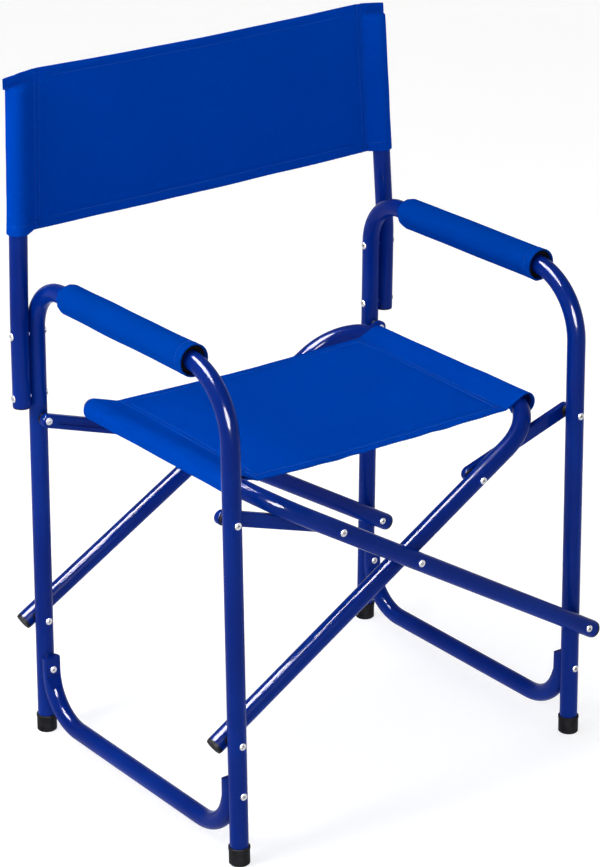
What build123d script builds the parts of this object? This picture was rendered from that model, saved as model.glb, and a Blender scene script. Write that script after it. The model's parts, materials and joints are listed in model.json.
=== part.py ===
"""Folding director's chair: bent steel tube side frames, scissor seat tubes, sling seat and back.

Frame: +Z up, front of the chair towards -Y, left side frame at -X. The origin is on the floor,
at the centre of the bounding box. Every hinge pin lies along Y.
"""

from build123d import *
import math
import os

os.makedirs("parts", exist_ok=True)

# ---- driving dimensions, mm -------------------------------------------------------------------
TUBE_R = 11.0             # outer radius of every frame tube
WALL = 1.2
SIDE_SPACING = 515.0      # left hoop to right hoop, axis to axis
LEG_SPACING = 409.0       # front leg to rear leg, axis to axis, at the lower pivots
LAYER_STEP = 23.6         # the right hoop and its seat tube lie this much behind the left ones
SPLAY = 0.016             # legs spread this much per unit of height, and the seat tubes match
ARM_HEIGHT = 588.0        # axis of the arm tube
FRONT_BEND = 80.0
REAR_BEND = 58.0

PIVOT_HEIGHT = 151.5      # lower pivots, where each seat tube is pinned to a leg
CROSS_ANGLE = 30.9        # slope of the seat tubes when the chair is open, degrees
FOLDED_ANGLE = 75.0       # slope of the seat tubes when it is folded
RAIL_REACH = 547.0        # lower pivot to seat rail, along the tube
RAIL_BEND = 68.0
TUBE_TAIL = 15.5          # seat tube beyond its lower pivot
TUBE_CAP = 3.4            # thickness of the plug that closes its end
LINK_REACH = 129.5        # crossing to the link's pin, along the tube

POST_STEP = 22.4          # post axis outboard of the leg axis
POST_BOTTOM = 437.0
POST_KNEE = 545.0         # above this the post leans back and in
POST_TOP = 816.0
POST_LEAN = 0.0282
POST_TOE_IN = 0.0465
POST_PINS = (448.0, 526.0)
POST_CAP = 1.4
KNEE_BEND = 300.0

STRETCHER_HEIGHT = 26.7
STRETCHER_PIN = 88.6
STRETCHER_TOP = 104.0
STRETCHER_BEND = 60.0
STRETCHER_INSET = 14.0    # end of the stretcher tube in front of the leg axis
CRIMP_FACE = 18.4         # flattened outer face of the crimped end, from the leg axis
CRIMP_DEPTH = 7.0         # how far the crimp presses the tube in
CRIMP_HEIGHT = 8.0        # flat face below the rivet
CRIMP_RAMP = 14.0         # height over which the round tube becomes flat

FOOT_R = 12.3
FOOT_HEIGHT = 22.0
FOOT_FLOOR = 4.5

LINK_HEIGHT = 17.0
LINK_THICK = 8.5
RIVET_R = 3.0
HOLE_R = 3.05
RIVET_HEAD_R = 4.3
RIVET_HEAD = 1.2
WASHER_R = 8.0
SPACER_R = 7.0
SNUG = 0.1                # clearance between pieces that are fastened together
GAP = 0.3                 # clearance between pieces that move past each other
LINK_GAP = 1.9            # seat tube to link: the tube closes in on the link along its length

PAD_FRONT = 66.0          # from the front leg axis to the pad's open end
PAD_REAR = 325.0
PAD_TAPER = 9.0           # length over which the cover closes in on the tube at the rear
PAD_HEM = 3.0             # cover beyond the foam at each end
PAD_NECK = 2.7            # height of the closed end above the tube
FOAM_R = 17.4
COVER_R = 18.7

SEAT_FRONT = -153.0
SEAT_REAR = 135.0
SLEEVE_R = 12.9
CLOTH = 1.2
SEAM_REACH = 30.0         # rail axis to the seam of the seat's sleeve
SEAM_RISE = 2.5           # seat seam above the rail axis
SEAT_SAG = 5.0
BACK_BOTTOM = 650.0
BACK_TOP = 840.0
BACK_SEAM_REACH = 22.0    # post axis to the seam of the back's sleeve
BACK_LAP = 12.0           # extra half width, so that the two halves are cut at the middle

# ---- worked out from them ---------------------------------------------------------------------
HALF = SIDE_SPACING / 2
SLOPE = math.radians(CROSS_ANGLE)
FOLDED = math.radians(FOLDED_ANGLE)
CROSS_REACH = HALF / math.cos(SLOPE)
# The link fits both the open and the folded chair when its leg pin is at this height.
LINK_RISE = (
    (math.sin(SLOPE) + math.sin(FOLDED)) * 2 * LINK_REACH * CROSS_REACH / (CROSS_REACH + LINK_REACH)
)
LINK_PIN = PIVOT_HEIGHT + LINK_RISE
SIDES = {"left": -1, "right": 1}
ENDS = {"front": -1, "rear": 1}
LAYER = {-1: -LAYER_STEP / 2, 1: LAYER_STEP / 2}


def leg_y(side, end, height):
    """Depth of a leg's axis at a height: side and end are -1 or 1."""
    return LAYER[side] + end * (LEG_SPACING / 2 - SPLAY * (height - PIVOT_HEIGHT))


def seat_tube_y(layer, end, reach):
    """Depth of a seat tube's leg at a distance from its lower pivot."""
    return LAYER[layer] + end * (LEG_SPACING / 2 - SPLAY * reach)


def seat_tube_point(layer, reach):
    """X and Z of a seat tube at a distance from its lower pivot, on the opposite side."""
    return layer * (-HALF + reach * math.cos(SLOPE)), PIVOT_HEIGHT + reach * math.sin(SLOPE)


def save(builder, name):
    builder.part.label = name
    export_step(builder.part, f"parts/{name}.step")


def tube_along(path, outer=TUBE_R, inner=TUBE_R - WALL):
    """Sweep a tube section along the path inside the part being built."""
    with BuildSketch(Plane(origin=path @ 0, z_dir=path % 0)) as section:
        Circle(outer)
        if inner:
            Circle(inner, mode=Mode.SUBTRACT)
    sweep(section.sketch, path=path)


def cross_holes(points):
    """Drill rivet holes along Y at (x, z) points, through the front and the rear."""
    with BuildSketch(Plane.XZ) as holes:
        with Locations(*points):
            Circle(HOLE_R)
    extrude(holes.sketch, amount=LEG_SPACING, both=True, mode=Mode.SUBTRACT)


def post_pin_holes(x, side):
    """Drill the two holes for a post's pins, along X."""
    with BuildSketch(Plane.YZ.offset(x)) as holes:
        with Locations(*[(leg_y(side, 1, height), height) for height in POST_PINS]):
            Circle(HOLE_R)
    extrude(holes.sketch, amount=2 * TUBE_R, both=True, mode=Mode.SUBTRACT)


def rivet(plane, near, far, near_head=True, far_head=True):
    """Hollow rivet along the plane's Y direction, its shank from near to far."""
    low = near - (RIVET_HEAD if near_head else 0)
    high = far + (RIVET_HEAD if far_head else 0)
    eyelet_r, eyelet_depth, edge = 1.7, 5.0, 0.45
    outline = [(0, low + eyelet_depth), (eyelet_r, low + eyelet_depth), (eyelet_r, low)]
    if not near_head:
        outline = [(0, low)]
    if near_head:
        outline += [(RIVET_HEAD_R - edge, low), (RIVET_HEAD_R, low + edge), (RIVET_HEAD_R, near)]
    outline += [(RIVET_R, near), (RIVET_R, far)]
    if far_head:
        outline += [(RIVET_HEAD_R, far), (RIVET_HEAD_R, high - edge), (RIVET_HEAD_R - edge, high)]
        outline += [(eyelet_r, high), (eyelet_r, high - eyelet_depth), (0, high - eyelet_depth)]
    else:
        outline += [(0, high)]
    with BuildSketch(plane) as profile:
        with BuildLine():
            Polyline(*outline, close=True)
        make_face()
    revolve(profile.sketch, axis=Axis(plane.origin, plane.y_dir))


def pin_plane(x, z):
    """Plane for a rivet along Y through (x, z)."""
    return Plane(origin=(x, 0, z), x_dir=(1, 0, 0), z_dir=(0, 0, 1))


def washer(x, z, near, far, radius):
    """Washer round a pin along Y."""
    with BuildSketch(Plane.XZ.offset(-near)) as ring:
        with Locations((x, z)):
            Circle(radius)
            Circle(HOLE_R, mode=Mode.SUBTRACT)
    extrude(ring.sketch, amount=near - far)


# ---- side frames ------------------------------------------------------------------------------
def hoop_path(side):
    corners = [
        (leg_y(side, 1, FOOT_FLOOR), FOOT_FLOOR),
        (leg_y(side, 1, ARM_HEIGHT), ARM_HEIGHT),
        (leg_y(side, -1, ARM_HEIGHT), ARM_HEIGHT),
        (leg_y(side, -1, FOOT_FLOOR), FOOT_FLOOR),
    ]
    with BuildLine(Plane.YZ.offset(side * HALF)) as line:
        FilletPolyline(*corners, radius=[REAR_BEND, FRONT_BEND])
    return line.wires()[0]


def post_points(side):
    """Bottom, knee and top of a post's axis."""
    x = side * (HALF + POST_STEP)
    rise = POST_TOP - POST_KNEE
    knee_y = leg_y(side, 1, POST_KNEE)
    return [
        Vector(x, leg_y(side, 1, POST_BOTTOM), POST_BOTTOM),
        Vector(x, knee_y, POST_KNEE),
        Vector(x - side * POST_TOE_IN * rise, knee_y + POST_LEAN * rise, POST_TOP),
    ]


def leg_core(side, radius, low, high):
    """Solid cylinders round both legs of a side frame, to cut away."""
    for end in ENDS.values():
        start = Vector(side * HALF, leg_y(side, end, low), low)
        stop = Vector(side * HALF, leg_y(side, end, high), high)
        with BuildSketch(Plane(origin=start, z_dir=stop - start)) as core:
            Circle(radius)
        extrude(core.sketch, amount=(stop - start).length, mode=Mode.SUBTRACT)


def build_hoop(name, side):
    x = side * HALF
    with BuildPart() as hoop:
        tube_along(hoop_path(side))
        cross_holes([(x, STRETCHER_PIN), (x, PIVOT_HEIGHT), (x, LINK_PIN)])
        post_pin_holes(x, side)
    save(hoop, f"{name}_hoop")


def build_stretcher(name, side):
    x = side * HALF
    ends = {end: leg_y(side, end, STRETCHER_PIN) - end * STRETCHER_INSET for end in ENDS.values()}
    corners = [
        (ends[1], STRETCHER_TOP),
        (ends[1], STRETCHER_HEIGHT),
        (ends[-1], STRETCHER_HEIGHT),
        (ends[-1], STRETCHER_TOP),
    ]
    with BuildPart() as stretcher:
        with BuildLine(Plane.YZ.offset(x)) as line:
            FilletPolyline(*corners, radius=STRETCHER_BEND)
        tube_along(line.wires()[0], inner=None)
        straight = ends[1] - ends[-1] - 2 * STRETCHER_BEND
        with BuildSketch(Plane.XZ.offset(-(ends[1] - STRETCHER_BEND))):
            with Locations((x, STRETCHER_HEIGHT)):
                Circle(TUBE_R - WALL)
        extrude(amount=straight, mode=Mode.SUBTRACT)
        leg_core(side, TUBE_R + 0.15, 0, STRETCHER_TOP + TUBE_R)
        for end in ENDS.values():
            face = leg_y(side, end, STRETCHER_PIN) - end * CRIMP_FACE
            outside = face - end * 2 * TUBE_R
            flat_from = STRETCHER_PIN - CRIMP_HEIGHT
            ramp = [
                (face - end * CRIMP_DEPTH, flat_from - CRIMP_RAMP),
                (face, flat_from),
                (face, STRETCHER_TOP + TUBE_R),
                (outside, STRETCHER_TOP + TUBE_R),
                (outside, flat_from - CRIMP_RAMP),
            ]
            with BuildSketch(Plane.YZ.offset(x)):
                with BuildLine():
                    Polyline(*ramp, close=True)
                make_face()
            extrude(amount=2 * TUBE_R, both=True, mode=Mode.SUBTRACT)
        cross_holes([(x, STRETCHER_PIN)])
    save(stretcher, f"{name}_stretcher")

    with BuildPart() as rivets:
        for end in ENDS.values():
            leg = leg_y(side, end, STRETCHER_PIN)
            faces = sorted([leg + end * (TUBE_R + SNUG), leg - end * (CRIMP_FACE + SNUG)])
            rivet(pin_plane(x, STRETCHER_PIN), *faces)
    save(rivets, f"{name}_stretcher_rivets")


def build_post(name, side):
    bottom, knee, top = post_points(side)
    x = side * (HALF + POST_STEP)
    with BuildPart() as post:
        with BuildLine() as line:
            FilletPolyline(bottom, knee, top, radius=KNEE_BEND)
        tube_along(line.wires()[0])
        post_pin_holes(x, side)
    save(post, f"{name}_back_post")

    with BuildPart() as plugs:
        end_plug(bottom, bottom - knee, POST_CAP)
        end_plug(top, top - knee, POST_CAP)
    save(plugs, f"{name}_post_plugs")

    with BuildPart() as rivets:
        for height in POST_PINS:
            across = Plane(origin=(0, leg_y(side, 1, height), height), x_dir=(0, 0, 1), z_dir=(0, 1, 0))
            inner = side * (HALF - TUBE_R - SNUG)
            outer = side * (HALF + POST_STEP + TUBE_R + SNUG)
            rivet(across, min(inner, outer), max(inner, outer))
    save(rivets, f"{name}_post_rivets")


def end_plug(tip, outward, cap):
    """Plastic plug in the end of a tube: a rounded disc with a stem inside the bore."""
    stem, wall = 7.0, 2.4
    base = Plane(origin=tip, z_dir=outward)
    with BuildSketch(base) as disc:
        Circle(TUBE_R)
    extrude(disc.sketch, amount=cap, taper=12)
    with BuildSketch(base.offset(-stem)) as bore:
        Circle(TUBE_R - WALL)
        Circle(TUBE_R - WALL - wall, mode=Mode.SUBTRACT)
    extrude(bore.sketch, amount=stem)


def build_foot(name, side, end):
    """Foot cap in line with the leg, cut flat on the floor."""
    axis = Plane(origin=(side * HALF, leg_y(side, end, 0), 0), z_dir=(0, -end * SPLAY, 1))
    collar, collar_r = 3.2, FOOT_R + 0.5
    with BuildPart() as foot:
        with BuildSketch(axis.offset(-2)):
            Circle(FOOT_R)
        extrude(amount=FOOT_HEIGHT + 2)
        with BuildSketch(axis.offset(FOOT_HEIGHT - collar)):
            Circle(collar_r)
        extrude(amount=collar)
        chamfer(foot.edges().group_by(Axis.Z)[-1], 0.5)
        split(bisect_by=Plane.XY, keep=Keep.TOP)
        chamfer(foot.edges().group_by(Axis.Z)[0], 1.0)
        with BuildSketch(axis.offset(FOOT_FLOOR - 0.2)):
            Circle(TUBE_R + 0.05)
        extrude(amount=FOOT_HEIGHT, mode=Mode.SUBTRACT)
    save(foot, name)


def build_arm_pad(name, side):
    front = leg_y(side, -1, ARM_HEIGHT)
    with BuildPart() as foam:
        with BuildSketch(Plane.XZ.offset(-(front + PAD_FRONT + PAD_HEM))):
            with Locations((side * HALF, ARM_HEIGHT)):
                Circle(FOAM_R)
        extrude(amount=-(PAD_REAR - PAD_FRONT - PAD_TAPER - PAD_HEM))
        tube_core(hoop_path(side), TUBE_R + SNUG)
    save(foam, f"{name}_arm_foam")

    rear = front + PAD_REAR
    foam_end = rear - PAD_TAPER + 1.5
    outline = [
        (front + PAD_FRONT, FOAM_R + SNUG),
        (front + PAD_FRONT, COVER_R),
        (rear - PAD_TAPER, COVER_R),
        (rear, TUBE_R + PAD_NECK),
        (rear, TUBE_R + SNUG),
        (foam_end, TUBE_R + SNUG),
        (foam_end, FOAM_R + SNUG),
    ]
    with BuildPart() as cover:
        with BuildSketch(Plane(origin=(side * HALF, 0, ARM_HEIGHT), x_dir=(0, 1, 0), z_dir=(1, 0, 0))):
            with BuildLine():
                Polyline(*outline, close=True)
            make_face()
        revolve(axis=Axis((side * HALF, 0, ARM_HEIGHT), (0, 1, 0)))
        tube_core(hoop_path(side), TUBE_R + SNUG)
    save(cover, f"{name}_arm_cover")


def tube_core(path, radius):
    """Cut away everything within a radius of the path."""
    with BuildSketch(Plane(origin=path @ 0, z_dir=path % 0)) as section:
        Circle(radius)
    sweep(section.sketch, path=path, mode=Mode.SUBTRACT)


# ---- seat tubes -------------------------------------------------------------------------------
def seat_tube_plane(layer):
    """Plane of a seat tube: local X is depth, local Y runs up the tube from its lower pivot."""
    along = Vector(layer * math.cos(SLOPE), 0, math.sin(SLOPE))
    return Plane(
        origin=(-layer * HALF, 0, PIVOT_HEIGHT), x_dir=(0, 1, 0), z_dir=Vector(0, 1, 0).cross(along)
    )


def seat_tube_path(layer):
    corners = [
        (seat_tube_y(layer, 1, -TUBE_TAIL), -TUBE_TAIL),
        (seat_tube_y(layer, 1, RAIL_REACH), RAIL_REACH),
        (seat_tube_y(layer, -1, RAIL_REACH), RAIL_REACH),
        (seat_tube_y(layer, -1, -TUBE_TAIL), -TUBE_TAIL),
    ]
    with BuildLine(seat_tube_plane(layer)) as line:
        FilletPolyline(*corners, radius=RAIL_BEND)
    return line.wires()[0]


def build_seat_tube(name, layer):
    path = seat_tube_path(layer)
    pins = [seat_tube_point(layer, reach) for reach in (0, CROSS_REACH, CROSS_REACH + LINK_REACH)]
    with BuildPart() as tube:
        tube_along(path)
        cross_holes(pins)
    save(tube, f"seat_tube_{name}")

    with BuildPart() as plugs:
        end_plug(path @ 0, path % 0 * -1, TUBE_CAP)
        end_plug(path @ 1, path % 1, TUBE_CAP)
    save(plugs, f"seat_tube_{name}_plugs")


def build_pivot_set(name, x, z, front_y, back_y):
    """Rivets and washers that join a forward tube to the tube one layer behind it."""
    with BuildPart() as rivets:
        for end in ENDS.values():
            rivet(pin_plane(x, z), front_y(end) - TUBE_R - SNUG, back_y(end) + TUBE_R + SNUG)
    save(rivets, f"{name}_rivets")
    with BuildPart() as washers:
        for end in ENDS.values():
            washer(x, z, front_y(end) + TUBE_R + 2 * SNUG, back_y(end) - TUBE_R - 2 * SNUG, WASHER_R)
    save(washers, f"{name}_washers")


# ---- links ------------------------------------------------------------------------------------
def build_links(name, side):
    """Front and rear link of one side, with the pins that join them to the leg and the seat tube.

    The left links run to the seat tube of the left rail, which lies in the left hoop's layer.
    The front links lie behind the tubes and the rear links in front of them.
    """
    reach = CROSS_REACH + LINK_REACH
    tube_x, tube_z = seat_tube_point(side, reach)
    leg_x, leg_z = side * HALF, LINK_PIN
    with BuildPart() as leg_rivets:
        for end in ENDS.values():
            outward = -end
            leg = leg_y(side, end, LINK_PIN)
            tube = seat_tube_y(side, end, reach)
            link_face = tube + outward * (TUBE_R + LINK_GAP)
            link_back = link_face + outward * LINK_THICK
            faces = sorted([leg - outward * (TUBE_R + SNUG), link_back + outward * SNUG])
            rivet(pin_plane(leg_x, leg_z), *faces)
    save(leg_rivets, f"{name}_link_rivets")

    with BuildPart() as spacers:
        for end in ENDS.values():
            outward = -end
            leg_face = leg_y(side, end, LINK_PIN) + outward * (TUBE_R + SNUG)
            link_face = seat_tube_y(side, end, reach) + outward * (TUBE_R + LINK_GAP - SNUG)
            washer(leg_x, leg_z, min(leg_face, link_face), max(leg_face, link_face), SPACER_R)
    save(spacers, f"{name}_link_spacers")

    with BuildPart() as tube_rivets:
        for end in ENDS.values():
            outward = -end
            tube = seat_tube_y(side, end, reach)
            headed = tube - outward * (TUBE_R + SNUG)
            plain = tube + outward * (TUBE_R + SNUG)
            rivet(
                pin_plane(tube_x, tube_z),
                min(headed, plain),
                max(headed, plain),
                near_head=headed < plain,
                far_head=headed > plain,
            )
    save(tube_rivets, f"seat_tube_{name}_link_rivets")

    with BuildPart() as tube_spacers:
        for end in ENDS.values():
            outward = -end
            tube_face = seat_tube_y(side, end, reach) + outward * (TUBE_R + 2 * SNUG)
            link_face = seat_tube_y(side, end, reach) + outward * (TUBE_R + LINK_GAP - GAP)
            washer(tube_x, tube_z, min(tube_face, link_face), max(tube_face, link_face), SPACER_R)
    save(tube_spacers, f"seat_tube_{name}_link_spacers")

    for end_name, end in ENDS.items():
        outward = -end
        tube = seat_tube_y(side, end, reach)
        link_face = tube + outward * (TUBE_R + LINK_GAP)
        link_back = link_face + outward * LINK_THICK
        build_link(f"{end_name}_{name}_link", (leg_x, leg_z), (tube_x, tube_z), link_face, link_back, outward)


def build_link(name, leg_pin, tube_pin, face, back, outward):
    """Flat bar with round ends and a pressed groove along its outer face."""
    length = math.dist(leg_pin, tube_pin)
    middle = [(a + b) / 2 for a, b in zip(leg_pin, tube_pin)]
    tilt = math.degrees(math.atan2(tube_pin[1] - leg_pin[1], tube_pin[0] - leg_pin[0]))
    low, high = min(face, back), max(face, back)
    groove_depth, groove_width = 1.6, 5.0
    groove_y = back - outward * groove_depth
    with BuildPart() as link:
        with BuildSketch(Plane.XZ.offset(-low)):
            with Locations(Location((middle[0], middle[1]), tilt)):
                SlotCenterToCenter(length, LINK_HEIGHT)
        extrude(amount=-(high - low))
        fillet(link.edges().filter_by(Axis.Y, reverse=True), 1.8)
        with BuildSketch(Plane.XZ.offset(-min(groove_y, back))):
            with Locations(Location((middle[0], middle[1]), tilt)):
                SlotCenterToCenter(length - 2 * LINK_HEIGHT, groove_width)
        extrude(amount=-groove_depth, mode=Mode.SUBTRACT)
        with BuildSketch(Plane.XZ.offset(-low)):
            with Locations(leg_pin, tube_pin):
                Circle(HOLE_R)
        extrude(amount=-(high - low), mode=Mode.SUBTRACT)
    save(link, name)

    with BuildPart() as pin:
        near, far = sorted([face, back + outward * SNUG])
        rivet(pin_plane(*tube_pin), near, far, near_head=outward < 0, far_head=outward > 0)
    save(pin, f"{name}_rivet")


# ---- soft goods -------------------------------------------------------------------------------
def build_seat_sling(name, side):
    """One half of the seat: a sleeve round the rail and a sagging panel to the middle."""
    rail_x, rail_z = seat_tube_point(side, RAIL_REACH)
    seam = rail_x - side * SEAM_REACH
    seam_z = rail_z + SEAM_RISE
    middle = side * 0.2
    with BuildPart() as sling:
        with BuildSketch(Plane.XZ.offset(-SEAT_FRONT)):
            with Locations((rail_x, rail_z)):
                Circle(SLEEVE_R)
            with Locations((seam, seam_z)):
                Circle(CLOTH)
            make_hull()
            with BuildLine():
                top = Spline(
                    (seam, seam_z + CLOTH),
                    (seam / 2, seam_z + CLOTH - SEAT_SAG * 0.75),
                    (middle, seam_z + CLOTH - SEAT_SAG),
                    tangents=[(-side, -0.09), (-side, 0)],
                )
                Line(top @ 1, (middle, seam_z - CLOTH - SEAT_SAG))
                bottom = Spline(
                    (middle, seam_z - CLOTH - SEAT_SAG),
                    (seam / 2, seam_z - CLOTH - SEAT_SAG * 0.75),
                    (seam, seam_z - CLOTH),
                    tangents=[(side, 0), (side, 0.09)],
                )
                Line(bottom @ 1, top @ 0)
            make_face()
        extrude(amount=-(SEAT_REAR - SEAT_FRONT))
        tube_core(seat_tube_path(side), TUBE_R + GAP)
    save(sling, f"seat_sling_{name}")


def build_back_panel(name, side):
    """One half of the back: a sleeve round the post and a panel to the middle."""
    _, knee, top = post_points(side)
    lean = (top - knee) / (top.Z - knee.Z)
    start = knee + lean * (BACK_BOTTOM - knee.Z)
    _, other_knee, other_top = post_points(-side)
    other_lean = (other_top - other_knee) / (other_top.Z - other_knee.Z)
    other = other_knee + other_lean * (BACK_BOTTOM - other_knee.Z)
    along = (other - start).normalized()
    across = Vector(-along.Y, along.X, 0)
    far = start + along * ((other - start).length / 2 + BACK_LAP)
    seam = start + along * BACK_SEAM_REACH
    with BuildPart() as panel:
        with BuildSketch(Plane.XY.offset(BACK_BOTTOM)):
            with Locations((start.X, start.Y)):
                Circle(SLEEVE_R)
            with Locations((seam.X, seam.Y)):
                Circle(CLOTH)
            make_hull()
            with BuildLine():
                corners = [seam + across * CLOTH, far + across * CLOTH, far - across * CLOTH]
                corners.append(seam - across * CLOTH)
                Polyline(*[(point.X, point.Y) for point in corners], close=True)
            make_face()
        extrude(amount=(BACK_TOP - BACK_BOTTOM) * lean.length, dir=lean)
        with BuildSketch(Plane.XY.offset(BACK_BOTTOM - 1)):
            with Locations((start.X - lean.X, start.Y - lean.Y)):
                Circle(TUBE_R + GAP)
        extrude(amount=(BACK_TOP - BACK_BOTTOM + 10) * lean.length, dir=lean, mode=Mode.SUBTRACT)
        split(bisect_by=Plane.YZ.offset(side * 0.2), keep=Keep.TOP if side > 0 else Keep.BOTTOM)
    save(panel, f"back_panel_{name}")


# ---- build everything -------------------------------------------------------------------------
for side_name, side in SIDES.items():
    build_hoop(side_name, side)
    build_stretcher(side_name, side)
    build_post(side_name, side)
    build_arm_pad(side_name, side)
    build_seat_tube(side_name, side)
    build_links(side_name, side)
    build_seat_sling(side_name, side)
    build_back_panel(side_name, side)
    for end_name, end in ENDS.items():
        build_foot(f"{end_name}_{side_name}_foot", side, end)

# The seat tube of the right rail is pinned to the left legs, behind them.
build_pivot_set(
    "left_pivot",
    -HALF,
    PIVOT_HEIGHT,
    lambda end: leg_y(-1, end, PIVOT_HEIGHT),
    lambda end: seat_tube_y(1, end, 0),
)
build_pivot_set(
    "right_pivot",
    HALF,
    PIVOT_HEIGHT,
    lambda end: seat_tube_y(-1, end, 0),
    lambda end: leg_y(1, end, PIVOT_HEIGHT),
)
build_pivot_set(
    "crossing",
    0,
    seat_tube_point(1, CROSS_REACH)[1],
    lambda end: seat_tube_y(-1, end, CROSS_REACH),
    lambda end: seat_tube_y(1, end, CROSS_REACH),
)
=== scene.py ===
import json
import math

import bpy
import numpy as np
from mathutils import Matrix, Vector, noise


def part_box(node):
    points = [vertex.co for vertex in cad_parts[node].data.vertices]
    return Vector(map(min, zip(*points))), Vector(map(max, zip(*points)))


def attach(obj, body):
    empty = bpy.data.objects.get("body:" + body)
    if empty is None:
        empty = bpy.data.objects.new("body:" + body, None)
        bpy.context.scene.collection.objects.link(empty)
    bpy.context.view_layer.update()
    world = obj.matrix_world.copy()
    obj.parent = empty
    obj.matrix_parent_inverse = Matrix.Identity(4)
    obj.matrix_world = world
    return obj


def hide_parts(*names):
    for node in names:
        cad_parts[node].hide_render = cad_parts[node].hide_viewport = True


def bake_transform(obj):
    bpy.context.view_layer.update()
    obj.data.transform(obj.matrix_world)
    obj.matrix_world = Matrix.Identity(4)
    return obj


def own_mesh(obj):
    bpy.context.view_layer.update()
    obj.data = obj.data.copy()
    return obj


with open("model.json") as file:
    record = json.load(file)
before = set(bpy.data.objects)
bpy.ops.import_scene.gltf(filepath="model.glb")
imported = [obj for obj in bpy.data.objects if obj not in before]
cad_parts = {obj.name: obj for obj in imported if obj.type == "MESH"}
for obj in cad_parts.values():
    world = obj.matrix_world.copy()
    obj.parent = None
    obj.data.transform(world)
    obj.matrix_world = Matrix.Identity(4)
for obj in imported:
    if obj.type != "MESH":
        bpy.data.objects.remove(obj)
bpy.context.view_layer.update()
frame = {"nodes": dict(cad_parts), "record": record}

# ---- sizes, m: the frame's own, repeated from the design ---------------------------------------
TUBE_R = 0.011
HALF = 0.2575             # centre plane to a side frame
LAYER = 0.0118            # right side frame behind, left in front of, the middle by this much
LEG_REACH = 0.2045        # middle to a leg at the lower pivot
SPLAY = 0.016
PIVOT_HEIGHT = 0.1515
CROSS_SLOPE = math.radians(30.9)
RAIL_BEND = 0.068
RAIL_REACH = 0.547
RAIL_HEIGHT = PIVOT_HEIGHT + RAIL_REACH * math.sin(CROSS_SLOPE)
ARM_HEIGHT = 0.588
POST_STEP = 0.0224
POST_KNEE = 0.545
POST_LEAN = 0.0282
POST_TOE_IN = 0.0465

# ---- sizes of the soft pieces, m ---------------------------------------------------------------
CLOTH = 0.0009            # thickness of the woven cloth
SEAM_REACH = 0.030        # rail axis to the seam that closes a seat sleeve
ALLOWANCE = 0.011         # cloth beyond that seam, sewn flat to the panel
HEM = 0.011               # cloth turned under at a free edge
SLEEVE_R = 0.0128         # middle of the cloth round a tube
MOUTH_FLARE = 0.0004      # how much wider a sleeve is at its open ends
LAYER_GAP = CLOTH * 0.55  # half the distance between two layers sewn together
SEAT_FRONT = -0.153
SEAT_REAR = 0.135
SEAM_RISE = 0.0045        # seat seam above the rail axis, at the rear
SEAM_DROP = 0.0055        # how much lower the seam is at the front
SAG_FRONT = 0.0035        # how far the seat's middle hangs below its seams
SAG_REAR = 0.0010
BACK_BOTTOM = 0.650
BACK_TOP = 0.8395
BACK_SEAM = 0.022         # post axis to the seam that closes a back sleeve
BACK_ROWS = (0.0240, 0.0300)   # rows of stitches, from the post axis
BACK_TAIL = 0.0335        # end of the cloth turned under behind the panel
FLAP = 0.0120             # height of the flat sewn flap on top of a back sleeve
PINCH = 0.0065            # height over which the sleeve closes below the flap
PAD_R = 0.0180            # middle of an arm cover's cloth
PAD_TAPER = 0.0095        # length over which a pad's rear end closes in on the tube
PAD_NECK = 0.0022         # height of that end above the tube
PAD_SEAM_COLUMN = 3.2     # where the cover's long seam is stitched, in columns from its edge
FOAM_R = 0.0172

SIDES = {"left": -1, "right": 1}


# ---- materials ---------------------------------------------------------------------------------
class Shader:
    """A new material and its node tree, with short calls for adding and joining nodes."""

    def __init__(self, name):
        self.material = bpy.data.materials.new(name)
        self.material.use_nodes = True
        self.nodes = self.material.node_tree.nodes
        self.links = self.material.node_tree.links
        self.surface = self.nodes["Principled BSDF"]

    def node(self, kind, **values):
        made = self.nodes.new(kind)
        for key, value in values.items():
            setattr(made, key, value)
        return made

    def join(self, source, target):
        if isinstance(source, (int, float)):
            target.default_value = source
        else:
            self.links.new(source, target)

    def math(self, operation, a, b=0.0, clamp=False):
        made = self.node("ShaderNodeMath", operation=operation, use_clamp=clamp)
        self.join(a, made.inputs[0])
        self.join(b, made.inputs[1])
        return made.outputs[0]

    def noise(self, where, scale, detail=2.0):
        made = self.node("ShaderNodeTexNoise")
        self.join(where, made.inputs["Vector"])
        made.inputs["Scale"].default_value = scale
        made.inputs["Detail"].default_value = detail
        return made.outputs["Fac"]

    def ramp(self, factor, low, high, start=0.0, end=1.0):
        made = self.node("ShaderNodeValToRGB")
        self.join(factor, made.inputs["Fac"])
        for element, place, color in zip(made.color_ramp.elements, (start, end), (low, high)):
            element.position = place
            element.color = (*color, 1.0)
        return made.outputs["Color"]

    def scaled(self, factor, low, high):
        made = self.node("ShaderNodeMapRange")
        self.join(factor, made.inputs["Value"])
        made.inputs["To Min"].default_value = low
        made.inputs["To Max"].default_value = high
        return made.outputs["Result"]

    def bump(self, height, distance, strength=1.0):
        made = self.node("ShaderNodeBump")
        self.join(height, made.inputs["Height"])
        made.inputs["Distance"].default_value = distance
        made.inputs["Strength"].default_value = strength
        self.join(made.outputs["Normal"], self.surface.inputs["Normal"])

    def set(self, **values):
        for key, value in values.items():
            self.surface.inputs[key.replace("_", " ")].default_value = value

    def feed(self, name, output):
        self.join(output, self.surface.inputs[name])

    def place(self, kind="Object"):
        return self.node("ShaderNodeTexCoord").outputs[kind]


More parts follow.
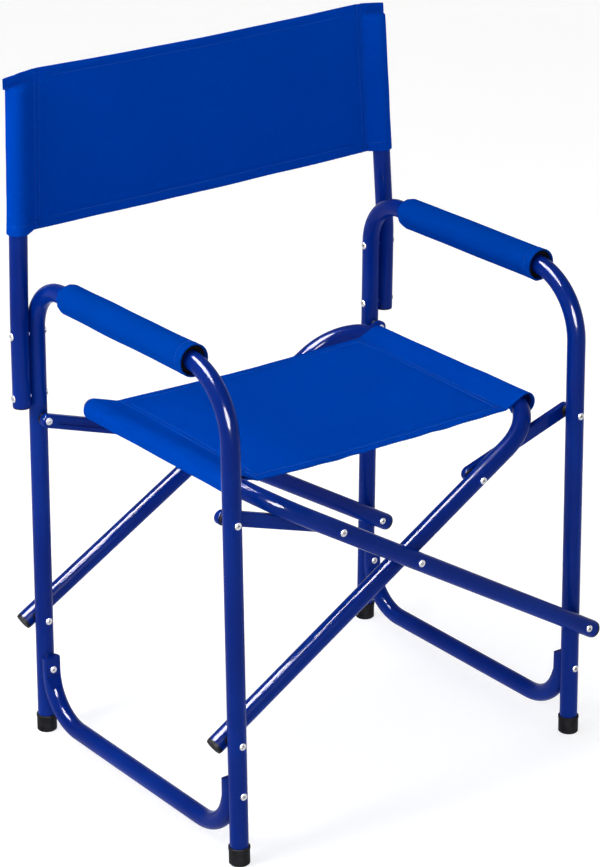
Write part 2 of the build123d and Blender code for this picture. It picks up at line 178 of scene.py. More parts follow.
def paint():
    """Glossy blue powder coat: slight orange peel and a few faint scuffs in the gloss."""
    s = Shader("blue_paint")
    here = s.place()
    low, high = (0.000, 0.013, 0.165), (0.000, 0.022, 0.225)
    s.feed("Base Color", s.ramp(s.noise(here, 9.0), low, high, 0.3, 0.7))
    s.feed("Roughness", s.scaled(s.noise(here, 60.0, 4.0), 0.16, 0.26))
    s.bump(s.noise(here, 900.0), 0.00006, 0.12)
    s.set(Coat_Weight=0.10, Coat_Roughness=0.035, Coat_IOR=1.5, Specular_IOR_Level=0.02)
    return s.material


def steel():
    """Bright rolled rivet steel."""
    s = Shader("rivet_steel")
    here = s.place()
    low, high = (0.34, 0.34, 0.36), (0.50, 0.50, 0.52)
    s.feed("Base Color", s.ramp(s.noise(here, 300.0), low, high, 0.3, 0.7))
    s.feed("Roughness", s.scaled(s.noise(here, 700.0, 3.0), 0.28, 0.42))
    s.set(Metallic=1.0)
    return s.material


def black_plastic():
    """Moulded black plastic with a fine spark-eroded grain, paler where it has rubbed."""
    s = Shader("black_plastic")
    here = s.place()
    low, high = (0.006, 0.006, 0.008), (0.016, 0.016, 0.019)
    s.feed("Base Color", s.ramp(s.noise(here, 80.0, 4.0), low, high, 0.35, 0.7))
    s.feed("Roughness", s.scaled(s.noise(here, 150.0, 3.0), 0.42, 0.60))
    s.bump(s.noise(here, 2600.0, 1.0), 0.00008, 0.5)
    s.set(Specular_IOR_Level=0.03)
    return s.material


def foam():
    """Black closed-cell foam, with painted shade darkening the hollows of its cells."""
    s = Shader("black_foam")
    here = s.place()
    cells = s.node("ShaderNodeTexVoronoi")
    s.join(here, cells.inputs["Vector"])
    cells.inputs["Scale"].default_value = 900.0
    depth = cells.outputs["Distance"]
    # Painted shade: the cells' hollows, low in the bump, take the darker colour.
    s.feed("Base Color", s.ramp(depth, (0.003, 0.003, 0.004), (0.014, 0.014, 0.016)))
    s.bump(depth, 0.0003, 0.8)
    s.set(Roughness=0.9, Specular_IOR_Level=0.0)
    return s.material


def woven(name, dark, light):
    """Plain-weave polyester: over-and-under threads, laid out in metres of the flat cloth, with
    painted shade in the gaps between threads.
    """
    thread = 0.00062
    s = Shader(name)
    parts = s.node("ShaderNodeSeparateXYZ")
    s.join(s.place("UV"), parts.inputs[0])
    waves, cells = [], []
    for axis in ("X", "Y"):
        turns = s.math("DIVIDE", parts.outputs[axis], thread)
        waves.append(s.math("ABSOLUTE", s.math("SINE", s.math("MULTIPLY", turns, math.pi))))
        cells.append(s.math("FLOOR", turns))
    over = s.math("PINGPONG", s.math("ADD", cells[0], cells[1]), 1.0)
    warp = s.math("MULTIPLY", waves[0], over)
    weft = s.math("MULTIPLY", waves[1], s.math("SUBTRACT", 1.0, over))
    height = s.math("ADD", warp, weft)
    here = s.place()
    slub = s.noise(here, 220.0, 3.0)
    broad = s.noise(here, 7.0, 2.0)
    # Painted shade: the weave's height makes the colour darker between the threads and lighter on
    # their crowns; slub and broad add random tone.
    weave_shade_and_tone = s.math("ADD", s.math("MULTIPLY", height, 0.45), s.math("MULTIPLY", slub, 0.30))
    weave_shade_and_tone = s.math("ADD", weave_shade_and_tone, s.math("MULTIPLY", broad, 0.25))
    s.feed("Base Color", s.ramp(weave_shade_and_tone, dark, light, 0.10, 0.85))
    s.feed("Roughness", s.scaled(slub, 0.62, 0.82))
    s.bump(s.math("ADD", height, s.math("MULTIPLY", slub, 0.5)), 0.00012, 0.55)
    s.set(Specular_IOR_Level=0.0)
    return s.material


def thread_material():
    """Twisted polyester sewing thread, a shade off the cloth."""
    s = Shader("blue_thread")
    twist = s.node("ShaderNodeTexWave", wave_profile="SIN")
    s.join(s.place(), twist.inputs["Vector"])
    twist.inputs["Scale"].default_value = 900.0
    low, high = (0.001, 0.030, 0.300), (0.004, 0.075, 0.500)
    s.feed("Base Color", s.ramp(twist.outputs["Fac"], low, high))
    s.set(Roughness=0.55, Specular_IOR_Level=0.04)
    return s.material


def floor_material():
    """White studio floor, a little luminous, with the faintest mottle."""
    s = Shader("studio_floor")
    s.feed("Base Color", s.ramp(s.noise(s.place(), 2.0), (0.47, 0.47, 0.47), (0.50, 0.50, 0.50)))
    s.set(Roughness=0.9, Specular_IOR_Level=0.0)
    s.set(Emission_Color=(1.0, 1.0, 1.0, 1.0), Emission_Strength=0.72)
    return s.material


MATERIALS = {
    "frame": paint(),
    "links": paint(),
    "rivets": steel(),
    "plastic": black_plastic(),
    "foam": foam(),
    # The back's and the arms' cloth is the seat's cloth made darker: painted shade, most of it on
    # the arms.
    "seat_fabric": woven("seat_cloth", (0.000, 0.038, 0.325), (0.000, 0.058, 0.450)),
    "back_fabric": woven("back_cloth_shaded_darker", (0.000, 0.034, 0.310), (0.000, 0.054, 0.440)),
    "arm_fabric": woven("arm_cloth_shaded_darker", (0.000, 0.030, 0.245), (0.000, 0.048, 0.350)),
    "thread": thread_material(),
}


# ---- meshes ------------------------------------------------------------------------------------
def mesh_object(name, points, faces, material, uv=None):
    """A smooth-shaded mesh object. uv holds one pair for each point, in metres of flat cloth."""
    mesh = bpy.data.meshes.new(name)
    mesh.from_pydata([tuple(p) for p in points], [], faces)
    mesh.materials.append(MATERIALS[material])
    mesh.polygons.foreach_set("use_smooth", [True] * len(mesh.polygons))
    if uv is not None:
        layer = mesh.uv_layers.new(name="flat_cloth")
        corner = np.zeros(len(mesh.loops), np.int32)
        mesh.loops.foreach_get("vertex_index", corner)
        layer.data.foreach_set("uv", np.asarray(uv, np.float32)[corner].ravel())
    made = bpy.data.objects.new(name, mesh)
    bpy.context.scene.collection.objects.link(made)
    return made


def grid_faces(rows, columns):
    faces = []
    for r in range(rows - 1):
        for c in range(columns - 1):
            low = r * columns + c
            faces.append((low, low + 1, low + columns + 1, low + columns))
    return faces


def lengths(points):
    """Distance along a polyline at each of its points."""
    steps = np.linalg.norm(np.diff(points, axis=0), axis=1)
    return np.concatenate([[0.0], np.cumsum(steps)])


class Cloth:
    """A sheet as a grid of points: rows run across the cloth, columns along it.

    outward is -1 where the side that shows is the one that the rows' and columns' order turns away.
    """

    def __init__(self, grid, outward=1):
        self.grid = np.asarray(grid, float)
        rows, columns, _ = self.grid.shape
        self.across = lengths(self.grid[rows // 2])
        self.along = lengths(self.grid[:, columns // 2])
        down, right = np.gradient(self.grid, axis=0), np.gradient(self.grid, axis=1)
        normal = outward * np.cross(right, down)
        self.normal = normal / np.maximum(np.linalg.norm(normal, axis=2, keepdims=True), 1e-12)

    @property
    def flat(self):
        """Size that the cloth was cut to: (across, along)."""
        return float(self.across[-1]), float(self.along[-1])

    def build(self, name, material):
        rows, columns, _ = self.grid.shape
        u, v = np.meshgrid(self.across, self.along)
        uv = np.stack([u, v], axis=2).reshape(-1, 2)
        made = mesh_object(name, self.grid.reshape(-1, 3), grid_faces(rows, columns), material, uv)
        thick = made.modifiers.new("thickness", "SOLIDIFY")
        thick.thickness = CLOTH
        thick.offset = 0.0
        return made

    def sample(self, row, column):
        """Point and normal at fractional row and column numbers."""
        r, c = int(min(row, len(self.grid) - 2)), int(min(column, self.grid.shape[1] - 2))
        fr, fc = row - r, column - c
        shares = ((r, c, (1 - fr) * (1 - fc)), (r + 1, c, fr * (1 - fc)))
        shares += ((r, c + 1, (1 - fr) * fc), (r + 1, c + 1, fr * fc))
        point = sum(self.grid[i, j] * w for i, j, w in shares)
        normal = sum(self.normal[i, j] * w for i, j, w in shares)
        return point, normal / np.linalg.norm(normal)


STITCH = 0.0030           # length of a stitch
STITCH_STEP = 0.0042
STITCH_R = 0.00034


def stitch_run(cloth, rows, columns):
    """Both ends and the normal of each stitch along a straight line of the grid, outer face."""
    steps = 400
    places = zip(np.linspace(*rows, steps), np.linspace(*columns, steps))
    line = [cloth.sample(row, column) for row, column in places]
    points = np.array([p + n * CLOTH / 2 for p, n in line])
    normals = np.array([n for _, n in line])
    run = lengths(points)
    count = int((run[-1] - STITCH) / STITCH_STEP)
    found = []
    for k in range(count):
        middle = (k + 0.7) * STITCH_STEP
        ends = [middle - STITCH / 2, middle + STITCH / 2]
        near, far = (np.array([np.interp(at, run, points[:, i]) for i in range(3)]) for at in ends)
        normal = np.array([np.interp(middle, run, normals[:, i]) for i in range(3)])
        found.append((near, far, normal))
    return found


def stitches(name, found):
    """One mesh of plump little stitches, each an arched spindle lying on the cloth."""
    around, rings = 6, (0.0, 0.12, 0.5, 0.88, 1.0)
    points, faces = [], []
    for near, far, normal in found:
        along = far - near
        side = np.cross(along, normal)
        side /= np.linalg.norm(side)
        first = len(points)
        for t in rings:
            arch = math.sin(math.pi * t)
            girth = STITCH_R * (0.35 + 0.65 * arch**0.5)
            centre = near + along * t + normal * (STITCH_R * 1.1 * arch - STITCH_R * 0.3)
            for k in range(around):
                a = 2 * math.pi * k / around
                points.append(centre + girth * (side * math.cos(a) + normal * math.sin(a)))
        for r in range(len(rings) - 1):
            for k in range(around):
                low, other = first + r * around + k, first + r * around + (k + 1) % around
                faces.append((low, other, other + around, low + around))
        faces.append(tuple(first + k for k in reversed(range(around))))
        faces.append(tuple(first + (len(rings) - 1) * around + k for k in range(around)))
    return mesh_object(name, points, faces, "thread")


def ripple(x, y, size, seed=0.0):
    """Smooth repeatable unevenness from -1 to 1, in lumps of about this size. seed picks another."""
    return noise.noise(Vector((x / size + seed, y / size, seed * 1.7)))


FOLD_ROWS = 6             # rows that a hem adds before the cloth's face begins
HEM_ROW = 9               # row of the hem's stitches


def hem_rows(start, stop, step):
    """Place along a cloth and depth under its face, for a sheet with both ends folded under.

    Returns pairs (place, drop): the hem's under layer, the fold, then the face, and back again.
    r is the fold's radius, and beside the distance from the stitches to the rows next to them.
    """
    r, beside = 0.0006, 0.0010
    turn = [math.pi * k / 4 for k in range(1, 4)]
    first = [(start + HEM, 2 * r), (start + HEM * 0.5, 2 * r), (start + r, 2 * r)]
    first += [(start + r - r * math.sin(a), r + r * math.cos(a)) for a in turn]
    near = [start + r, start + HEM * 0.45]
    near += [start + HEM - beside, start + HEM, start + HEM + beside]
    far = [stop - (place - start) for place in reversed(near)]
    count = int((far[0] - near[-1]) / step)
    inner = list(np.linspace(near[-1], far[0], count + 1)[1:-1])
    last = [(start + stop - place, drop) for place, drop in reversed(first)]
    return first + [(place, 0.0) for place in near + inner + far] + last


# ---- tubes that the cloth goes round -----------------------------------------------------------
def rail_corner(side, end):
    """Depth of the corner that a seat rail would have without its bend."""
    return side * LAYER + end * (LEG_REACH - SPLAY * RAIL_REACH)


def rail_point(side, y):
    """X and Z of a seat rail's axis at a depth, in its bends too."""
    x = side * (RAIL_REACH * math.cos(CROSS_SLOPE) - HALF)
    into = max(rail_corner(side, -1) + RAIL_BEND - y, y - rail_corner(side, 1) + RAIL_BEND, 0.0)
    into = min(into, RAIL_BEND)
    down = RAIL_BEND - math.sqrt(RAIL_BEND**2 - into**2)
    return x - side * down * math.cos(CROSS_SLOPE), RAIL_HEIGHT - down * math.sin(CROSS_SLOPE)


def rail_line(side):
    """Points along a seat rail's axis, bends included, closely spaced."""
    short = 0.001
    depths = np.linspace(rail_corner(side, -1) + short, rail_corner(side, 1) - short, 240)
    return np.array([(rail_point(side, y)[0], y, rail_point(side, y)[1]) for y in depths])


def post_axis(side, z):
    """Point on a back post's axis, above its knee."""
    rise = z - POST_KNEE
    knee_y = side * LAYER + LEG_REACH - SPLAY * (POST_KNEE - PIVOT_HEIGHT)
    return Vector((side * (HALF + POST_STEP - POST_TOE_IN * rise), knee_y + POST_LEAN * rise, z))


def push_clear(point, line, clearance):
    """The point moved in X and Z until it is that far from a tube's axis."""
    spare = 0.00005
    for _ in range(4):
        offsets = point - line
        gaps = np.linalg.norm(offsets, axis=1)
        nearest = int(np.argmin(gaps))
        if gaps[nearest] >= clearance:
            break
        away = offsets[nearest] * (1, 0, 1)
        point = point + away / np.linalg.norm(away) * (clearance - gaps[nearest] + spare)
    return point


# ---- a sleeve's section ------------------------------------------------------------------------
ARC_STEPS = 26            # points round the tube
LINE_STEPS = 7            # points on each straight part, from the tube to the seam


def sleeve_section(radius, seam, rise):
    """A sleeve round a tube at the origin, closed by a seam at (seam, rise): (out, up) points.

    It starts under the seam, goes round the far side of the tube and ends on top of the seam.
    """

    def on_tube(angle):
        return np.array((radius * math.cos(angle), radius * math.sin(angle)))

    reach, tilt = math.hypot(seam, rise), math.atan2(rise, seam)
    touch = math.acos(min(1.0, radius / reach))
    below, above = np.array((seam, rise - LAYER_GAP)), np.array((seam, rise + LAYER_GAP))
    lead, leave = on_tube(tilt - touch), on_tube(tilt + touch)
    shares = np.linspace(0, 1, LINE_STEPS)
    angles = np.linspace(tilt - touch, tilt + touch - 2 * math.pi, ARC_STEPS)[1:-1]
    line_in = [below + (lead - below) * t for t in shares]
    line_out = [leave + (above - leave) * t for t in shares]
    return line_in + [on_tube(a) for a in angles] + line_out


def pressed_together(section, share):
    """The section with its lower layer lifted against the upper one, next to the seam."""
    outs, ups = zip(*section[-LINE_STEPS:])
    lifted = []
    for k, (out, up) in enumerate(section):
        if k < LINE_STEPS:
            near_seam = (out - outs[0]) / (outs[-1] - outs[0])
            above = np.interp(out, outs, ups) - CLOTH * 1.1
            up += (above - up) * share * min(1.0, max(0.0, near_seam * 3.0))
        lifted.append(np.array((out, up)))
    return lifted


def dip(distance, width=0.0016):
    """How far a line of stitches pulls the cloth in, as a share, at a distance from it."""
    return math.exp(-((distance / width) ** 2))


# ---- seat --------------------------------------------------------------------------------------
SEAM_ROWS = (0.0022, 0.0085)   # rows of stitches, from the seam into the panel
SLEEVE_BEYOND = 0.0045    # how far the sleeves' rear ends reach past the panel's edge
REAR_PULL, FRONT_PULL = 0.0030, 0.0020   # how far the panel's free edges draw in at the middle
STITCH_DIP = 0.0004       # how deep a row of stitches pulls the seat's cloth in
HEM_DIP = 0.0003
BESIDE_SEAM = 0.0011      # from a row of stitches to the grid columns next to it


def panel_places(half, step=0.0065):
    """Distances from the middle across half a panel, closer together at the stitches."""
    near = []
    for seam in SEAM_ROWS:
        near += [half - place for place in (seam - BESIDE_SEAM, seam, seam + BESIDE_SEAM)]
    count = int(min(near) / step)
    plain = list(np.linspace(0, min(near) - 0.002, count))
    return sorted(plain + near)


def seat_depth(y):
    """Place on the seat from its front edge, 0, to its rear edge, 1."""
    return (y - SEAT_FRONT) / (SEAT_REAR - SEAT_FRONT)


def seam_rise(depth):
    """Height of the seat's two seams above the rails' axes."""
    return SEAM_RISE - SEAM_DROP * (1 - depth) ** 2


def panel_height(x, y, half):
    """Height of the seat's face: a shallow sag, slight tension folds and a puckered front edge."""
    depth = seat_depth(y)
    crown = 1 - (x / half) ** 2
    sag = SAG_FRONT + (SAG_REAR - SAG_FRONT) * depth
    z = RAIL_HEIGHT + seam_rise(depth) + CLOTH * 0.5 - sag * crown
    free = max(0.0, crown)
    z += 0.0015 * free * ripple(x * 0.55 + y * 0.5, y * 1.3 - x * 0.35, 0.070, 1.0)
    z += 0.0005 * free * ripple(x, y * 2.2, 0.030, 5.0)
    front = math.exp(-(y - SEAT_FRONT) / 0.020)
    z += 0.0016 * front * free * ripple(x, 0.0, 0.026, 9.0)
    return z


def seat_cloth():
    """The whole seat as one cut of cloth: a sleeve on each rail and the panel between them.

    Returns the cloth, the panel's half width, and each panel column's distance from the middle.
    """
    half = abs(rail_point(1, 0.0)[0]) - SEAM_REACH
    places = panel_places(half)
    across = [-place for place in reversed(places)] + places[1:]
    sides = [(side, rail_point(side, 0.0)[0], rail_line(side)) for side in (-1, 1)]
    mouth = 0.010  # length over which the sleeves' open ends flare
    grid = []
    for y, drop in hem_rows(SEAT_FRONT, SEAT_REAR, 0.0062):
        depth = seat_depth(y)
        ends = min(y - SEAT_FRONT, SEAT_REAR - y)
        radius = SLEEVE_R + MOUTH_FLARE * math.exp(-ends / mouth) - drop * 0.6
        sleeves = []
        for side, rail_x, line in sides:
            section = sleeve_section(radius, SEAM_REACH, seam_rise(depth))
            section = pressed_together(section, math.exp(-(y - SEAT_FRONT) / mouth))
            tail = []
            for out in (SEAM_REACH + ALLOWANCE, SEAM_REACH + ALLOWANCE / 2):
                x = rail_x - side * out
                tail.append(np.array((x, y, panel_height(x, y, half) - CLOTH * 1.15)))
            loop = []
            for k, (out, up) in enumerate(section):
                loose = math.sin(math.pi * k / (len(section) - 1))
                grow = 1 + 0.0009 * ripple(y, out, 0.045, 3.0 + side) * loose / SLEEVE_R
                beyond = SLEEVE_BEYOND * depth**6 * min(1.0, 1 - out / SEAM_REACH)
                point = (rail_x - side * out * grow, y + beyond, RAIL_HEIGHT + up * grow)
                loop.append(push_clear(np.array(point), line, TUBE_R + CLOTH * 0.75))
            sleeves.append(tail + loop[:-1])
        panel = []
        for x in across:
            z = panel_height(x, y, half) - drop
            z -= STITCH_DIP * sum(dip(half - abs(x) - seam) for seam in SEAM_ROWS)
            z -= HEM_DIP * (dip(ends - HEM, 0.0012) if drop == 0 else 0)
            pull = REAR_PULL * depth**3 - FRONT_PULL * (1 - depth) ** 3
            panel.append(np.array((x, y - pull * (1 - (x / half) ** 2), z)))
        grid.append(sleeves[0] + panel + sleeves[1][::-1])
    first = len(sleeves[0])
    return Cloth(grid), half, {first + k: x for k, x in enumerate(across)}


def build_seat():
    cloth, half, panel_columns = seat_cloth()
    seat = cloth.build("seat_sling", "seat_fabric")
    last_row = len(cloth.grid) - 1
    sewn = []
    for side in (-1, 1):
        for seam in SEAM_ROWS:
            place = side * (half - seam)
            column = min(panel_columns, key=lambda c: abs(panel_columns[c] - place))
            sewn += stitch_run(cloth, (FOLD_ROWS, last_row - FOLD_ROWS), (column, column))
    edges = min(panel_columns), max(panel_columns)
    for row in (HEM_ROW, last_row - HEM_ROW):
        sewn += stitch_run(cloth, (row, row), edges)
    thread = stitches("seat_stitching", sewn)
    for piece in (seat, thread):
        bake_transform(piece)
    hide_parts("seat_sling_left", "seat_sling_right")


# ---- back --------------------------------------------------------------------------------------
FLAP_SPREAD = {-1: 0.44, 1: 0.16}   # share by which each flap's outer half widens as it closes
FLAP_REACH = 0.019        # post axis to the flap's outer corner
FLAP_FALL = 0.0055        # how far that corner hangs
FLAT_SHARE = 0.07         # height of the closed sleeve as a share of the round one's
BACK_STITCH_DIP = 0.00035
SEWN_BEHIND = (2, 6)      # a sleeve's stitched columns behind the panel, from its tail
SEWN_AHEAD = (1.2, 5)     # and in front, from its other edge
PANEL_CLEAR = 4           # the panel's columns that its hem stitches leave free at each end


def back_frame(side, z):
    """Post axis, direction to the other post, and direction to the front, at a height."""
    here, there = post_axis(side, z), post_axis(-side, z)
    inward = (there - here).normalized()
    forward = Vector((-side * inward.y, side * inward.x, 0))
    return here, inward, forward.normalized()


def closing(z):
    """How far a back sleeve has closed at a height: 0 round, 1 flat."""
    t = min(1.0, max(0.0, (z - (BACK_TOP - FLAP - PINCH)) / PINCH))
    return t * t * (3 - 2 * t)


def back_sleeve(side):
    """The loop round one post, open at the bottom and sewn flat at the top.

    It starts at the tail that is turned under behind the panel, and ends at the front, where the
    panel carries on.
    """
    near, far = BACK_ROWS
    step = BESIDE_SEAM
    tail = [BACK_TAIL, far + step, far, far - step, (near + far) / 2]
    tail += [near + step, near, near - step]
    grid = []
    for z, drop in hem_rows(BACK_BOTTOM, BACK_TOP, 0.0055):
        closed = closing(z)
        thin = max(FLAT_SHARE, math.sqrt(1 - closed**2))
        radius = SLEEVE_R + MOUTH_FLARE * math.exp(-(z - BACK_BOTTOM) / 0.012) - drop * 0.6
        here, inward, forward = back_frame(side, z)
        outline = [(out, -LAYER_GAP) for out in tail] + sleeve_section(radius, BACK_SEAM, 0.0)
        outline += [(out, LAYER_GAP) for out in reversed(tail[2:])]
        row = []
        for k, (out, up) in enumerate(outline):
            loose = math.sin(math.pi * k / (len(outline) - 1))
            slack = 0.0008 * ripple(z, k * 0.004, 0.040, 11.0 + side) * loose
            slack += 0.0011 * closed * ripple(out * 1.2 + z * 0.8, out * 0.4, 0.013, 14.0 + side)
            if out > BACK_SEAM - step:
                pulled = sum(dip(out - seam, 0.0012) for seam in BACK_ROWS)
                up -= math.copysign(BACK_STITCH_DIP, up) * pulled
            else:
                up *= thin
            if out < 0:
                out *= 1 + FLAP_SPREAD[side] * closed
            fall = FLAP_FALL * closed * max(0.0, (BACK_SEAM - out) / (BACK_SEAM + FLAP_REACH))
            place = here + inward * out + forward * (up + slack)
            row.append((place.x, place.y, place.z - fall))
        grid.append(row)
    return Cloth(grid, outward=-side)


def back_panel():
    """The panel between the sleeves, flush with their front layer from its row of stitches."""
    start_out = BACK_ROWS[1] - 0.0006
    edge_tuck, edge_width = 0.00045, 0.0012
    # Columns as shares of the width, closer together beside the sleeves.
    shares = [0.0, 0.0035] + list(np.linspace(0.010, 0.990, 84)) + [0.9965, 1.0]
    grid = []
    for z, drop in hem_rows(BACK_BOTTOM, BACK_TOP, 0.0058):
        up = (z - BACK_BOTTOM) / (BACK_TOP - BACK_BOTTOM)
        left, inward, forward = back_frame(-1, z)
        right, _, _ = back_frame(1, z)
        start = left + inward * start_out
        stop = right - inward * start_out
        width = (stop - start).length
        row = []
        for t in shares:
            free = 4 * t * (1 - t)
            place = start.lerp(stop, t)
            x = place.x
            from_end = min(t, 1 - t) * width
            belly = -0.0020 * free * math.sin(math.pi * up)
            folds = 0.0019 * ripple(x * 0.8 - z * 0.7, z * 1.6 + x * 0.5, 0.085, 2.0)
            folds += 0.0006 * ripple(x, z, 0.035, 6.0)
            gathers = math.sin(z / 0.0031 + 3 * ripple(z, 0, 0.03, 4.0))
            puckers = 0.0005 * math.exp(-from_end / 0.014) * gathers
            edge = min(z - BACK_BOTTOM, BACK_TOP - z)
            hem = -HEM_DIP * (dip(edge - HEM, 0.0012) if drop == 0 else 0)
            under = -edge_tuck * max(0.0, 1 - from_end / edge_width)
            level = LAYER_GAP + belly + (folds + puckers) * min(1.0, free * 4) + hem + under
            place += forward * (level - drop)
            sag = 0.0030 * free * up**2 + 0.0010 * free * (1 - up) ** 2
            row.append((place.x, place.y, place.z - sag))
        grid.append(row)
    return Cloth(grid)


def build_back():
    panel = back_panel()
    body = panel.build("back_panel", "back_fabric")
    rows, columns, _ = panel.grid.shape
    hems = []
    for row in (HEM_ROW, rows - 1 - HEM_ROW):
        hems += stitch_run(panel, (row, row), (PANEL_CLEAR, columns - 1 - PANEL_CLEAR))
    hem_thread = stitches("back_hem_stitching", hems)
    for piece in (body, hem_thread):
        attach(piece, "left_frame")
        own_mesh(piece)
    for name, side in SIDES.items():
        cloth = back_sleeve(side)
        sleeve = cloth.build(f"{name}_back_sleeve", "back_fabric")
        rows, columns, _ = cloth.grid.shape
        ahead = tuple(columns - column for column in SEWN_AHEAD)
        sewn = []
        for column in SEWN_BEHIND + ahead:
            sewn += stitch_run(cloth, (FOLD_ROWS, rows - 1 - FOLD_ROWS), (column, column))
        for row in (HEM_ROW, rows - 1 - HEM_ROW):
            sewn += stitch_run(cloth, (row, row), (SEWN_BEHIND[-1] + 1, ahead[-1] - 1))
        thread = stitches(f"{name}_back_stitching", sewn)
        for piece in (sleeve, thread):
            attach(piece, f"{name}_frame")
        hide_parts(f"back_panel_{name}")


# ---- arm pads ----------------------------------------------------------------------------------
def build_arm_pad(name, side):
    """Foam tube and its sewn cover: open at the front, drawn in to the tube at the rear."""
    low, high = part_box(f"{name}_arm_cover")
    start, stop = low.y, high.y
    centre_x = (low.x + high.x) / 2
    around = 56
    seam_angle = -math.pi * 0.62
    lap_columns = 3.0
    grid = []
    for y, drop in hem_rows(start, stop, 0.0070):
        left = stop - y
        taper = max(0.0, 1 - left / PAD_TAPER)
        radius = PAD_R - (PAD_R - TUBE_R - PAD_NECK) * taper**1.6
        radius += 0.0006 * math.exp(-(y - start) / 0.012) - drop * 0.8
        row = []
        for k in range(around + 1):
            a = 2 * math.pi * k / around + seam_angle
            gather = 0.0006 * taper * math.sin(9 * a + 1.5 * math.sin(3 * a))
            slack = 0.0006 * ripple(y, math.sin(a) * 0.02, 0.05, 20.0 + side) * (1 - taper)
            lap = 0.0010 * max(0.0, 1 - k / lap_columns)
            hang = 0.0006 * max(0.0, -math.sin(a)) * (1 - taper)
            r = radius + gather + slack + lap + hang
            row.append((centre_x + side * r * math.cos(a), y, ARM_HEIGHT + r * math.sin(a)))
        grid.append(row)
    cloth = Cloth(grid, outward=-side)
    cover = cloth.build(f"{name}_arm_pad_cover", "arm_fabric")
    rows, columns, _ = cloth.grid.shape
    seam = PAD_SEAM_COLUMN, PAD_SEAM_COLUMN
    sewn = stitch_run(cloth, (FOLD_ROWS, rows - 1 - FOLD_ROWS), seam)
    sewn += stitch_run(cloth, (HEM_ROW, HEM_ROW), (1, columns - 2))
    thread = stitches(f"{name}_arm_stitching", sewn)
    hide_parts(f"{name}_arm_cover")
    core = build_foam(name, centre_x, start, stop)
    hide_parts(f"{name}_arm_foam")
    for piece, slot in ((cover, "arm_fabric"), (thread, "arm_fabric"), (core, "foam")):
        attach(piece, f"{name}_frame")


def build_foam(name, centre_x, start, stop):
    """Foam tube between an arm and its cover, with softly rounded, slightly uneven ends."""
    inner, outer = TUBE_R + 0.00015, FOAM_R - 0.0002
    first, last = start + 0.0035, stop - PAD_TAPER - 0.0015
    soft = 0.0012
    profile = [(inner, first + soft), (inner + soft, first)]
    profile += [(outer - soft, first), (outer, first + soft)]
    profile += [(outer, y) for y in np.linspace(first, last, 24)[1:-1]]
    profile += [(outer, last - soft), (outer - soft, last)]
    profile += [(inner + soft, last), (inner, last - soft)]
    around = 48
    points = []
    for k in range(around):
        a = 2 * math.pi * k / around
        for radius, y in profile:
            r = radius
            if radius > inner + soft / 2:
                r += 0.00025 * ripple(a * 0.02, y, 0.012, 30.0)
            if y < first + soft:
                y += 0.0006 * ripple(math.cos(a) * 0.02, math.sin(a) * 0.02, 0.012, 33.0)
            points.append((centre_x + r * math.cos(a), y, ARM_HEIGHT + r * math.sin(a)))
    n = len(profile)
    faces = []
    for k in range(around):
        this, other = k * n, (k + 1) % around * n
        for i in range(n):
            after = (i + 1) % n
            faces.append((this + i, this + after, other + after, other + i))
    return mesh_object(f"{name}_arm_pad_foam", points, faces, "foam")


# ---- carried-over CAD nodes --------------------------------------------------------------------
def finish_cad_nodes():
    """Every CAD node takes the detailed material of its slot in the record."""
    slots = {part["node"]: part["material_slot"] for part in frame["record"]["subparts"]}
    for name, node in frame["nodes"].items():
        for place in node.material_slots:
            place.material = MATERIALS[slots[name]]


# ---- studio ------------------------------------------------------------------------------------
VIEW_AZIMUTH = math.radians(-36.254)
VIEW_ELEVATION = math.radians(21.787)
VIEW_ROLL = math.radians(-0.177)
VIEW_DISTANCE = 3.6201
VIEW_HEIGHT = 0.3951
VIEW_SHIFT = -0.00796     # aim to the side of the origin
LENS_MM = 126.04


def add_camera():
    across, along = math.cos(VIEW_AZIMUTH), math.sin(VIEW_AZIMUTH)
    flat = math.cos(VIEW_ELEVATION)
    right = Vector((across, along, 0))
    back = Vector((along * flat, -across * flat, math.sin(VIEW_ELEVATION)))
    camera = bpy.data.objects.new("camera", bpy.data.cameras.new("camera"))
    bpy.context.scene.collection.objects.link(camera)
    camera.data.lens = LENS_MM
    camera.location = Vector((0, 0, VIEW_HEIGHT)) + right * VIEW_SHIFT + back * VIEW_DISTANCE
    camera.rotation_mode = "QUATERNION"
    roll = Matrix.Rotation(VIEW_ROLL, 4, "Z").to_quaternion()
    camera.rotation_quaternion = (-back).to_track_quat("-Z", "Y") @ roll
    bpy.context.scene.camera = camera


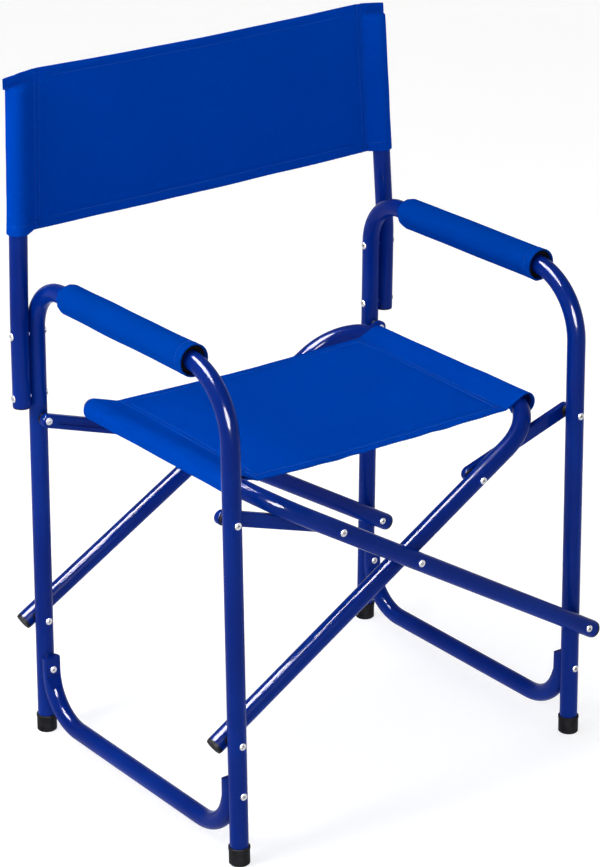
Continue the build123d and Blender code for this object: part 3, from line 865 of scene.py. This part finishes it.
def add_light(name, place, target, size, power, shows_in_gloss):
    """Oval light aimed at a point, seen either in reflections only or in matt surfaces only."""
    data = bpy.data.lights.new(name, "AREA")
    data.shape = "ELLIPSE"
    data.size, data.size_y = size
    data.energy = power
    lamp = bpy.data.objects.new(name, data)
    bpy.context.scene.collection.objects.link(lamp)
    lamp.location = place
    lamp.rotation_mode = "QUATERNION"
    lamp.rotation_quaternion = (Vector(target) - Vector(place)).to_track_quat("-Z", "Y")
    lamp.visible_camera = False
    lamp.visible_glossy = shows_in_gloss
    lamp.visible_diffuse = not shows_in_gloss


def add_studio():
    size = 30.0
    below = 0.0005
    corners = [(-size, -size, 0), (size, -size, 0), (size, size, 0), (-size, size, 0)]
    mesh = bpy.data.meshes.new("floor")
    mesh.from_pydata(corners, [], [(0, 1, 2, 3)])
    mesh.materials.append(floor_material())
    floor = bpy.data.objects.new("floor", mesh)
    floor.location.z = -below
    bpy.context.scene.collection.objects.link(floor)
    world = bpy.data.worlds.new("studio")
    bpy.context.scene.world = world
    world.use_nodes = True
    sky = world.node_tree
    height = sky.nodes.new("ShaderNodeSeparateXYZ")
    fade = sky.nodes.new("ShaderNodeValToRGB")
    sky.links.new(sky.nodes.new("ShaderNodeTexCoord").outputs["Generated"], height.inputs[0])
    sky.links.new(height.outputs["Z"], fade.inputs["Fac"])
    sky.links.new(fade.outputs["Color"], sky.nodes["Background"].inputs["Color"])
    # White to a little above the horizon, and grey overhead so that the lamps do the modelling.
    for element, place, level in zip(fade.color_ramp.elements, (0.16, 0.34), (1.0, 0.40)):
        element.position = place
        element.color = (level, level, level, 1.0)
    middle = Vector((0, 0, 0.45))
    add_light("key", (-1.75, 0.05, 1.55), middle, (0.9, 0.9), 21.0, shows_in_gloss=False)
    add_light("top", (-0.4, 0.3, 2.6), middle, (1.0, 1.0), 20.0, shows_in_gloss=False)
    above = middle + Vector((-0.40, 0.10, 0.91)) * 2.5
    add_light("gloss_above", above, middle, (2.3, 1.2), 1100.0, shows_in_gloss=True)
    ahead = middle + Vector((-0.42, -0.85, 0.33)) * 4.5
    add_light("gloss_ahead", ahead, middle, (2.5, 2.3), 2200.0, shows_in_gloss=True)
    bpy.context.scene.view_settings.view_transform = "Standard"


add_camera()
add_studio()
finish_cad_nodes()
build_seat()
build_back()
for side_name, side_sign in SIDES.items():
    build_arm_pad(side_name, side_sign)
